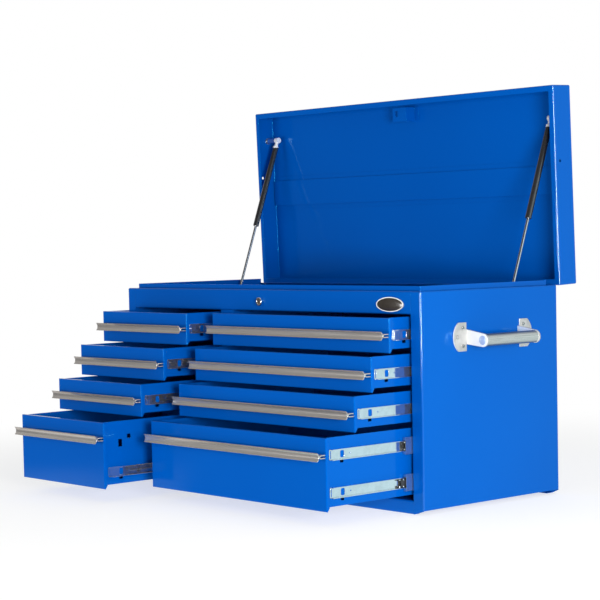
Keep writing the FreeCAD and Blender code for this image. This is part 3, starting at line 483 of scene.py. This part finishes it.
def badge_enamel():
    """Dark glossy field of the badge."""
    glossy = {"Coat Weight": 0.8, "Coat Roughness": 0.04}
    colours = (0.020, 0.016, 0.012), (0.042, 0.034, 0.026)
    return plain_finish("badge_enamel", glossy, colours,
                        lump=5 * MM, roughness=0.14, spread=0.1, grain=1 * MM)


def cage_plastic():
    """Black plastic of the ball cages in the slides."""
    colours = (0.010, 0.010, 0.012), (0.022, 0.022, 0.026)
    return plain_finish("cage_plastic", {}, colours,
                        lump=6 * MM, roughness=0.4, spread=0.15, grain=2 * MM)


def ball_steel():
    """Polished steel of the balls."""
    colours = (0.78, 0.80, 0.83), (0.90, 0.91, 0.93)
    return plain_finish("ball_steel", {"Metallic": 1}, colours,
                        lump=2 * MM, roughness=0.05, spread=0.05, grain=1 * MM)


def black_tube_paint():
    """Black paint of the strut tubes, with a bright plated socket at the upper end."""
    material, finish = new_material("black_tube_paint", {"Coat Weight": 0.6, "Coat Roughness": 0.05})
    socket_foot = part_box("left_strut_tube")[1].z - SOCKET_LENGTH
    socket = finish.part(finish.here(), "Z").between(socket_foot, socket_foot + SOCKET_FADE)
    black = finish.blend(finish.noise(8 * MM), (0.006, 0.006, 0.007), (0.012, 0.012, 0.014))
    set_varying(finish, {
        "Metallic": socket * 0.4,
        "Base Color": finish.blend(socket, black, (0.90, 0.91, 0.92)),
        "Roughness": 0.22 + finish.noise(3 * MM) * 0.15,
    })
    return material


def ground_steel():
    """Ground steel of the strut rods."""
    material, finish = new_material("ground_steel", {"Metallic": 1})
    rings = finish.noise(0.4 * MM, stretch=(0.1, 0.1, 1))
    set_varying(finish, {
        "Base Color": finish.blend(rings, (0.34, 0.35, 0.37), (0.42, 0.43, 0.45)),
        "Roughness": 0.18 + rings * 0.1,
    })
    return material


MATERIALS = {
    "paint": blue_paint(),
    "zinc": bright_zinc(),
    "chrome": polished_chrome(),
    "strut_black": black_tube_paint(),
    "rod_steel": ground_steel(),
    "pull_aluminium": brushed_aluminium(),
    "satin": satin_chrome(),
    "tube": brushed_tube(),
    "bolt": bolt_steel(),
    "screw": screw_steel(),
    "plug": lock_face(),
    "stud": painted_stud(),
    "ball": ball_steel(),
    "enamel": badge_enamel(),
    "cage": cage_plastic(),
}


def node_slot(name):
    """The record's material slot of a node, told from its name."""
    if name.endswith("pull"):
        return "pull_aluminium"
    if "slide" in name and "post" not in name:
        return "zinc"
    if "hinge" in name or "stud" in name:
        return "zinc"
    if "tube" in name:
        return "strut_black"
    if "strut_rod" in name:
        return "rod_steel"
    if "lock" in name or "badge" in name or "handle" in name:
        return "chrome"
    return "paint"


def finish_nodes():
    """Each CAD node gets the finish of its slot, or its own."""
    # the grips' tube finish holds a painted reflection, darker above and below
    own_finish = {"handle_grips": "tube", "lock_cylinder": "plug", "strut_upper_studs": "stud"}
    for name, node in nodes.items():
        finish = own_finish.get(name, node_slot(name))
        node.data.materials.clear()
        node.data.materials.append(MATERIALS[finish])


# Ways to make a piece

def choose(*pieces):
    """Select these pieces and nothing else."""
    bpy.ops.object.select_all(action="DESELECT")
    for piece in pieces:
        piece.select_set(True)
    bpy.context.view_layer.objects.active = pieces[0]


def start_shape(kind, name, **settings):
    """One of Blender's starting shapes, at its size and place."""
    bpy.ops.object.select_all(action="DESELECT")
    getattr(bpy.ops.mesh, f"primitive_{kind}_add")(**settings)
    piece = bpy.context.object
    piece.name = name
    return piece


def start_box(name, low, high):
    """A box between two corners."""
    low, high = Vector(low), Vector(high)
    return start_shape("cube", name, size=1, location=(low + high) / 2, scale=high - low)


def settle(piece):
    """Put the piece's place and turn into its mesh, with its object at the origin."""
    choose(piece)
    bpy.ops.object.transform_apply(location=True, rotation=True, scale=True)


def pick_faces(piece, test):
    """In edit mode, select the faces that pass the test of middle and normal."""
    mesh = bmesh.from_edit_mesh(piece.data)
    bpy.ops.mesh.select_mode(type="FACE")
    for face in mesh.faces:
        face.select_set(test(face.calc_center_median(), face.normal))
    mesh.select_flush_mode()
    bmesh.update_edit_mesh(piece.data)


def apply_modifier(piece, kind, **settings):
    """Add a modifier and apply it."""
    choose(piece)
    modifier = piece.modifiers.new(kind.lower(), kind)
    for name, value in settings.items():
        setattr(modifier, name, value)
    bpy.ops.object.modifier_apply(modifier=modifier.name)


def soften(piece, width, steps=2):
    """Round the sharp edges, and shade the rest smooth."""
    apply_modifier(piece, "BEVEL", width=width, segments=steps, limit_method="ANGLE",
                   angle_limit=math.radians(SMOOTH_ANGLE), use_clamp_overlap=False)
    choose(piece)
    bpy.ops.object.shade_smooth_by_angle(angle=math.radians(SMOOTH_ANGLE))


def merged_copy(node, name):
    """A copy of a CAD node with its loose triangles merged."""
    piece = bpy.data.objects.new(name, nodes[node].data.copy())
    bpy.context.scene.collection.objects.link(piece)
    choose(piece)
    bpy.ops.mesh.customdata_custom_splitnormals_clear()
    bpy.ops.object.mode_set(mode="EDIT")
    bpy.ops.mesh.select_all(action="SELECT")
    bpy.ops.mesh.remove_doubles(threshold=MERGE)
    bpy.ops.mesh.dissolve_limited(angle_limit=math.radians(FLAT_ANGLE))
    bpy.ops.object.mode_set(mode="OBJECT")
    return piece


def copy_to(piece, name, move):
    """A copy of a piece with its own mesh, its points moved by a matrix."""
    copy = bpy.data.objects.new(name, piece.data.copy())
    bpy.context.scene.collection.objects.link(copy)
    copy.data.transform(move)
    if move.determinant() < 0:
        copy.data.flip_normals()
    return copy


def join(name, pieces):
    """Make one piece of several."""
    choose(*pieces)
    bpy.ops.object.join()
    pieces[0].name = name
    return pieces[0]


def hand_over(piece, finish, slot, body, *replaced):
    """Give a finished piece its material and the body it rides on, and hide the nodes it stands for. The
    slot is not used.
    """
    piece.data.materials.clear()
    piece.data.materials.append(MATERIALS[finish])
    if replaced:
        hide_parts(*replaced)
    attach(piece, body)


# Handles

def make_brackets():
    """Cast brackets with soft edges, and the round end of the grip's bolt on each arm."""
    brackets = merged_copy("handle_brackets", "cast_brackets")
    soften(brackets, CAST_EDGE, steps=3)
    # the satin finish paints the faces to the front and the back paler, a painted highlight
    hand_over(brackets, "satin", "chrome", "case", "handle_brackets")
    grip_low, grip_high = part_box("handle_grips")
    centre_x = grip_high.x - GRIP_RADIUS
    centre_z = (grip_low.z + grip_high.z) / 2
    button = start_shape("cylinder", "bolt_end", vertices=BOLT_SIDES, radius=BOLT_END, depth=2 * BOLT_PROUD,
                         rotation=(math.radians(90), 0, 0))
    settle(button)
    soften(button, BOLT_EDGE)
    places = [(side * centre_x, y, centre_z)
              for side in (-1, 1) for y in (grip_low.y - ARM_SHEET, grip_high.y + ARM_SHEET)]
    ends = [copy_to(button, "bolt_end", Matrix.Translation(place)) for place in places]
    bpy.data.objects.remove(button)
    hand_over(join("bolt_ends", ends), "bolt", "chrome", "case")


def make_screws():
    """Twelve cross-head screws, each turned its own way."""
    head = start_shape("cylinder", "screw_head", vertices=SCREW_SIDES, radius=SCREW_RADIUS,
                       depth=SCREW_HEAD, location=(0, 0, SCREW_HEAD / 2))
    settle(head)
    bpy.ops.object.mode_set(mode="EDIT")
    pick_faces(head, lambda middle, normal: normal.z > FACES_THAT_WAY)
    bpy.ops.mesh.bevel(offset=SCREW_DOME, segments=4)
    bpy.ops.object.mode_set(mode="OBJECT")
    for turn in (0, 90):
        blade = start_box("blade", (-CROSS_LENGTH / 2, -CROSS_WIDTH / 2, SCREW_HEAD - CROSS_DEPTH),
                          (CROSS_LENGTH / 2, CROSS_WIDTH / 2, 2 * SCREW_HEAD))
        blade.rotation_euler.z = math.radians(turn)
        settle(blade)
        apply_modifier(head, "BOOLEAN", operation="DIFFERENCE", object=blade, solver="EXACT")
        bpy.data.objects.remove(blade)
    choose(head)
    bpy.ops.object.shade_smooth_by_angle(angle=math.radians(SCREW_SMOOTH_ANGLE))
    turns = random.Random(SCREW_SEED)
    low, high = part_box("handle_screws")
    grip_low, grip_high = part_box("handle_grips")
    face = high.x - SCREW_HEAD
    middle_z = (low.z + high.z) / 2
    heads = []
    for side in (-1, 1):
        for end, inner in ((-1, grip_low.y - ARM_SHEET), (1, grip_high.y + ARM_SHEET)):
            near = inner + end * SCREW_NEAR
            far = inner + end * SCREW_FAR
            spots = [(near, SCREW_SPREAD), (near, -SCREW_SPREAD), (far, 0)]
            for y, rise in spots:
                turn = Matrix.Rotation(turns.uniform(0, math.pi / 2), 4, "Z")
                tip = Matrix.Rotation(side * math.pi / 2, 4, "Y")
                place = Matrix.Translation((side * face, y, middle_z + rise))
                heads.append(copy_to(head, "screw", place @ tip @ turn))
    bpy.data.objects.remove(head)
    hand_over(join("cross_head_screws", heads), "screw", "chrome", "case", "handle_screws")


# Lock and badge

def make_lock():
    """The lock's ring, with a soft edge."""
    barrel = merged_copy("lock_barrel", "lock_ring")
    soften(barrel, LOCK_EDGE, steps=3)
    hand_over(barrel, "chrome", "chrome", "case", "lock_barrel")


def make_badge():
    """Bare oval badge: a raised bright rim about a dark field. The rim's front is painted paler by its
    finish, a painted highlight.
    """
    low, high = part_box("oval_badge")
    middle = (low + high) / 2
    size = high - low
    rim = start_shape("cylinder", "badge_rim", vertices=BADGE_SIDES, radius=0.5, depth=1,
                      location=middle, rotation=(math.radians(90), 0, 0), scale=(size.x, size.z, size.y))
    settle(rim)
    bpy.ops.object.mode_set(mode="EDIT")
    pick_faces(rim, lambda middle, normal: normal.y < -FACES_THAT_WAY)
    bpy.ops.mesh.inset(thickness=BADGE_RIM)
    bpy.ops.mesh.extrude_region_move(TRANSFORM_OT_translate={"value": (0, BADGE_FIELD_DEPTH, 0)})
    bpy.ops.object.mode_set(mode="OBJECT")
    soften(rim, BADGE_EDGE, steps=3)
    # the satin finish paints the rim's front paler, a painted highlight
    hand_over(rim, "satin", "chrome", "case", "oval_badge")
    field = start_shape("cylinder", "badge_field", vertices=BADGE_SIDES, radius=0.5, depth=1,
                        location=(middle.x, low.y + BADGE_FIELD_DEPTH, middle.z),
                        rotation=(math.radians(90), 0, 0),
                        scale=(size.x - 2 * BADGE_RIM, size.z - 2 * BADGE_RIM, BADGE_FIELD_DOME))
    settle(field)
    soften(field, BADGE_FIELD_EDGE, steps=3)
    hand_over(field, "enamel", "chrome", "case")


# Slides

def make_cages():
    """Ball cage of each slide, its front end a little ahead of the middle member."""
    cage = model_cage()
    ball = start_shape("uv_sphere", "ball", segments=16, ring_count=10, radius=BALL_RADIUS)
    bpy.ops.object.shade_smooth()
    spots = [Matrix.Translation((CAGE_DEPTH, CAGE_FIRST_BALL + step * CAGE_STEP, up * CAGE_BALL_UP))
             for up in (-1, 1) for step in range(CAGE_BALLS)]
    for name in [node for node in nodes if node.endswith("middle_slides")]:
        cages = []
        balls = []
        for low, high, side in member_boxes(name):
            ahead = CAGE_AHEAD_LOW if name.startswith("right") and low.z < DEEP_MIDDLE else CAGE_AHEAD
            inner = low.x if side > 0 else high.x
            place = Matrix.Translation((inner, low.y - ahead, (low.z + high.z) / 2))
            place = place @ Matrix.Diagonal((side, 1, 1, 1))
            cages.append(copy_to(cage, "cage", place))
            balls += [copy_to(ball, "ball", place @ spot) for spot in spots]
        body = body_of[name]
        hand_over(join(name.replace("middle_slides", "ball_cages"), cages), "cage", "zinc", body)
        hand_over(join(name.replace("middle_slides", "balls"), balls), "ball", "zinc", body)
    bpy.data.objects.remove(cage)
    bpy.data.objects.remove(ball)


def model_cage():
    """A plate with two rails for the balls: its depth along x, its front end at y 0."""
    top = (CAGE_DEPTH, CAGE_LENGTH, CAGE_HALF)
    pieces = [
        start_box("rail", (0, 0, -CAGE_HALF), (CAGE_DEPTH, CAGE_LENGTH, -CAGE_RAIL)),
        start_box("rail", (0, 0, CAGE_RAIL), top),
        start_box("web", (CAGE_DEPTH - CAGE_SHEET, CAGE_NOTCH, -CAGE_HALF), top),
    ]
    for piece in pieces:
        settle(piece)
        soften(piece, CAGE_EDGE)
    return join("cage", pieces)


def member_boxes(name):
    """Box of each separate member of a node, with the side of the drawer that it is on."""
    piece = merged_copy(name, "members")
    choose(piece)
    bpy.ops.mesh.separate(type="LOOSE")
    parts = list(bpy.context.selected_objects)
    drawer_low, drawer_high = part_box(name.replace("middle_slides", "box"))
    middle = (drawer_low.x + drawer_high.x) / 2
    boxes = []
    for part in parts:
        points = [vertex.co for vertex in part.data.vertices]
        low = Vector([min(point[axis] for point in points) for axis in range(3)])
        high = Vector([max(point[axis] for point in points) for axis in range(3)])
        boxes.append((low, high, 1 if low.x > middle else -1))
    for part in parts:
        bpy.data.objects.remove(part)
    return sorted(boxes, key=lambda found: (found[0].x, found[0].z))


# Room

def towards(finish, way, aim, band):
    """0 to 1 as a direction turns towards an aim, within a band of cosines."""
    return finish.vector("DOT_PRODUCT", way, Vector(aim).normalized(), output="Value").between(*band)


def room_colour(finish, way, left_share):
    """What metal and paint mirror: dim in front, grey to the left, pale blue to the right, white behind."""
    colour = finish.blend(towards(finish, way, LEFT_WAY, LEFT_BAND) * left_share, DIM_ROOM, LEFT_WALL)
    colour = finish.blend(towards(finish, way, RIGHT_WAY, RIGHT_BAND), colour, RIGHT_WALL)
    colour = finish.blend(towards(finish, way, BACK_WAY, BACK_BAND), colour, BACK_WALL)
    return finish.blend(towards(finish, way, UP, UP_BAND), colour, CEILING)


def make_world():
    """White for the camera, a dim room for mirrors and an even light for the rest."""
    world = bpy.data.worlds.new("studio")
    bpy.context.scene.world = world
    world.use_nodes = True
    room = Finish(world.node_tree)
    background = world.node_tree.nodes["Background"]
    way = room.node("ShaderNodeTexCoord", output="Generated")
    mirrored = room_colour(room, way, LEFT_SHARE * towards(room, way, UP, LEFT_RISE))
    lit = room.blend(room.ray("Is Diffuse Ray"), mirrored, ROOM_LIGHT)
    room.feed(background.inputs["Color"], room.blend(room.ray("Is Camera Ray"), lit, WHITE))
    background.inputs["Strength"].default_value = 1


def make_floor():
    """Pale floor that keeps the shadow near the chest and turns to plain white further out."""
    floor = start_shape("plane", "floor", size=FLOOR_SIZE)
    material, finish = new_material("floor_white", {"Roughness": 0.8, "Specular IOR Level": 0.1,
                                                    "Emission Color": (*WHITE, 1),
                                                    "Emission Strength": FLOOR_GLOW})
    clouds = finish.noise(0.8)
    set_varying(finish, {"Base Color": finish.blend(clouds, (0.56, 0.55, 0.53), (0.58, 0.57, 0.55))})
    here = finish.here()
    far = finish.vector("LENGTH", here, output="Value")
    way = finish.vector("NORMALIZE", finish.vector("ADD", here, FLOOR_SHIFT))
    mirror_ray = finish.ray("Is Glossy Ray")
    mirrored = room_colour(finish, way, 1 - far.between(*FLOOR_LEFT_WALL_TO))
    colour = finish.blend(mirror_ray, WHITE, mirrored)
    glow = finish.node("ShaderNodeEmission", None, {"Color": colour})
    share = far.between(*FLOOR_WHITE_FROM).or_more(mirror_ray)
    pale = Signal(finish, finish.shader.outputs[0])
    mixed = finish.node("ShaderNodeMixShader", None, {0: share, 1: pale, 2: glow})
    finish.feed(finish.tree.nodes["Material Output"].inputs["Surface"], mixed)
    floor.data.materials.append(material)


finish_nodes()
make_brackets()
make_screws()
make_lock()
make_badge()
make_cages()
make_world()
make_floor()
make_camera()
make_lamp("side_light", *SIDE_LIGHT)
make_lamp("front_light", *FRONT_LIGHT)
make_lamp("corner_light", *CORNER_LIGHT)
bpy.context.scene.view_settings.view_transform = "Standard"
